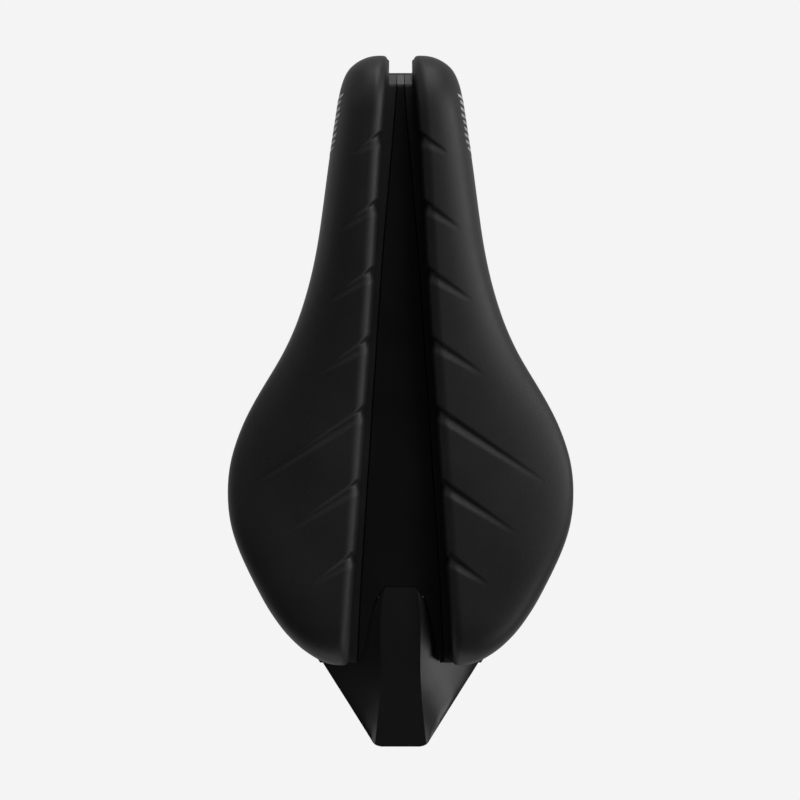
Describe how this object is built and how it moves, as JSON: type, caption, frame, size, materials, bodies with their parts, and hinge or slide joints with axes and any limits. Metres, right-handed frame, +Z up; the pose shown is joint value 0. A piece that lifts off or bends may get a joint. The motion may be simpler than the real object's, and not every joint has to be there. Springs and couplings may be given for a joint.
{
  "type": "bicycle saddle",
  "caption": "Short split-nose triathlon saddle: two long grooved pads beside a full-length relief channel, round rails below and a hooked tail for racking the bike.",
  "frame": {"origin": "midway between the two rails, at the middle of their straight clamp zone, on the plane of the rail axes", "axes": "+Z up, the nose points to -Y, +Y is to the rear along the rails, +X is across the saddle"},
  "size_m": [0.1342, 0.2685, 0.052],
  "materials": {
    "cover": "fine-grained satin microfibre",
    "foam": "open-cell foam",
    "base": "fine moulded texture",
    "panel": "satin to gloss moulded strip",
    "tail": "satin moulded",
    "caps": "glass-filled nylon",
    "rail": "satin black coat",
    "rubber": "matte",
    "steel": "dark zinc",
    "insert": "turned"
  },
  "bodies": {
    "root": {"cover_left": "cover", "cover_right": "cover", "foam_left": "foam", "foam_right": "foam", "base_shell": "base", "channel_panel": "panel", "panel_screws": "steel", "saddle_rail": "rail", "rail_boot_left": "rubber", "rail_boot_right": "rubber", "nose_rail_cap": "caps", "nose_cap_screws": "steel", "nose_inserts": "insert", "rear_rail_cap_left": "caps", "rear_rail_cap_right": "caps", "rear_cap_screws": "steel", "rear_inserts": "insert", "tail_hook": "tail", "hook_pad": "rubber", "hook_screws": "steel", "hook_inserts": "insert"}
  },
  "joints": []
}
